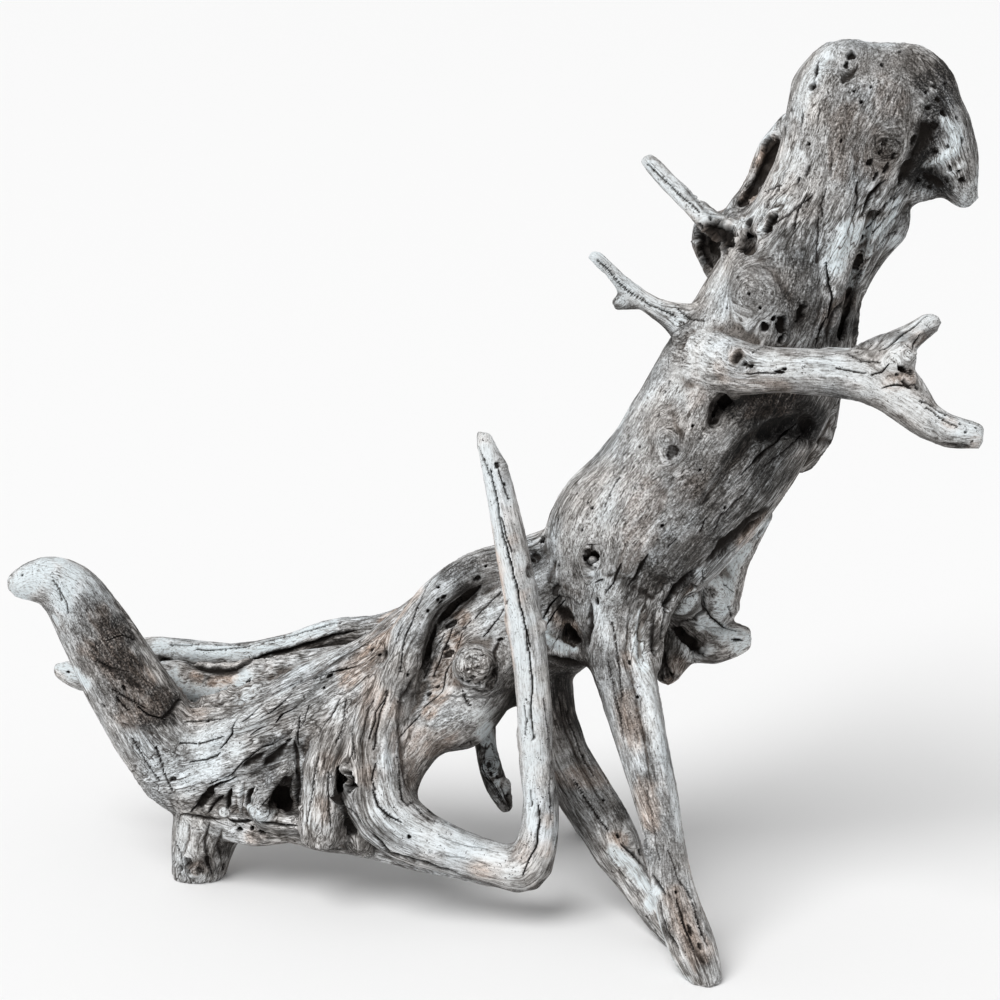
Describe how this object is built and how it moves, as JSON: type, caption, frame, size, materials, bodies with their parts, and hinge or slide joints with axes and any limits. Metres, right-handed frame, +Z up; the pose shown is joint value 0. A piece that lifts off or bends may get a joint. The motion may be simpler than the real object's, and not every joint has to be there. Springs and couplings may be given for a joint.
{
  "type": "driftwood",
  "caption": "Weathered driftwood root and trunk: leaning trunk with a hooked crown, spreading root body, slanting legs, an upright elbow branch and a forked side branch.",
  "frame": {"origin": "on the floor under the feet, at the centre of the object's width and depth", "axes": "+X to the right as the picture shows it, from the root's tip towards the crown; -Y towards the viewer; +Z up"},
  "size_m": [0.9457, 0.3968, 0.847],
  "materials": {
    "trunk": "bare weathered grey wood, dark char on the crown's right side, pale flutes",
    "root_flare": "bare weathered grey wood with brown hollows and long grain ridges",
    "front_leg": "bare weathered grey wood with a pale ridge",
    "cross_leg": "bare weathered grey-brown wood with a pale splinter",
    "rear_leg": "bare weathered grey wood",
    "elbow_branch": "bare pale grey wood with long cracks",
    "neck_root": "bare weathered grey wood, bleached at the tip",
    "foot_stub": "bare weathered grey wood, worn end grain",
    "upper_back_root": "bare bleached wood",
    "lower_back_root": "bare bleached wood with a brown patch",
    "hanging_spur": "bare dark weathered wood",
    "forked_branch": "bare pale weathered wood with knots",
    "upper_twig": "bare weathered grey wood",
    "lower_twig": "bare weathered grey wood"
  },
  "bodies": {
    "root": {"trunk": "trunk", "root_flare": "root_flare", "front_leg": "front_leg", "cross_leg": "cross_leg", "rear_leg": "rear_leg", "elbow_branch": "elbow_branch", "neck_root": "neck_root", "foot_stub": "foot_stub", "upper_back_root": "upper_back_root", "lower_back_root": "lower_back_root", "hanging_spur": "hanging_spur", "forked_branch": "forked_branch", "upper_twig": "upper_twig", "lower_twig": "lower_twig"}
  },
  "joints": []
}
